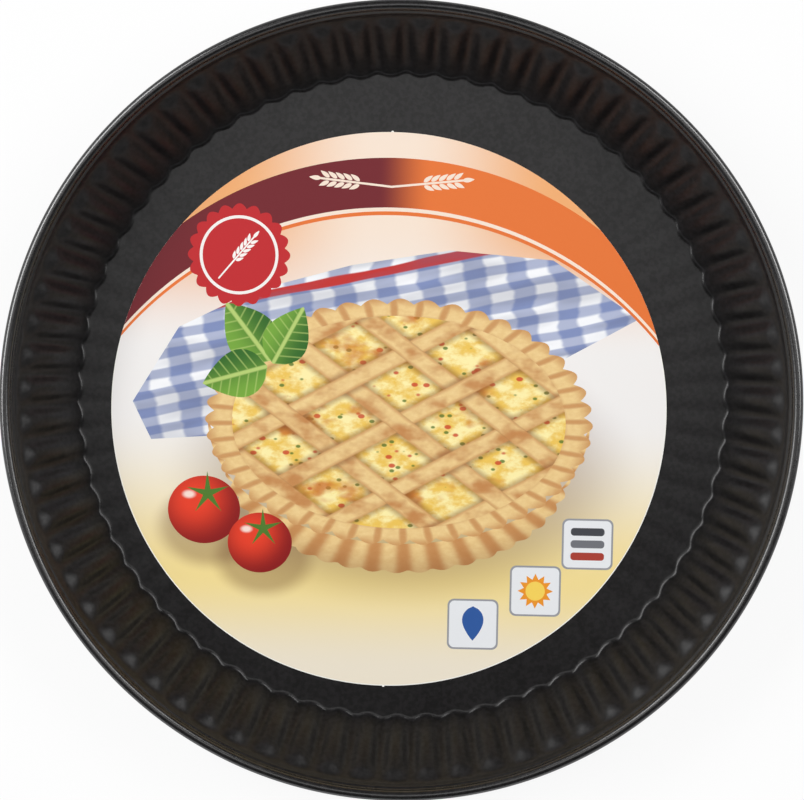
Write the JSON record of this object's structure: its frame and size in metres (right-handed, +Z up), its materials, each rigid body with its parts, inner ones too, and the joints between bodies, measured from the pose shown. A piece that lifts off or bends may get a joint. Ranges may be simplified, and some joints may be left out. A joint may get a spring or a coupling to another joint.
{
  "type": "fluted quiche pan",
  "caption": "Round shallow baking pan of coated sheet steel with a fluted sloping wall and a rolled rim, with a printed card disc lying on its floor.",
  "frame": {"origin": "middle of the pan's underside, on its axis, on the surface it stands on", "axes": "+Z up along the pan's axis; +Y to the back, the picture's top edge; +X to the right as the picture shows it"},
  "size_m": [0.2876, 0.2876, 0.032],
  "materials": {
    "coated_steel": "satin charcoal non-stick coating",
    "printed_card": null
  },
  "bodies": {
    "root": {"pan": "coated_steel", "label_card": "printed_card"}
  },
  "joints": []
}
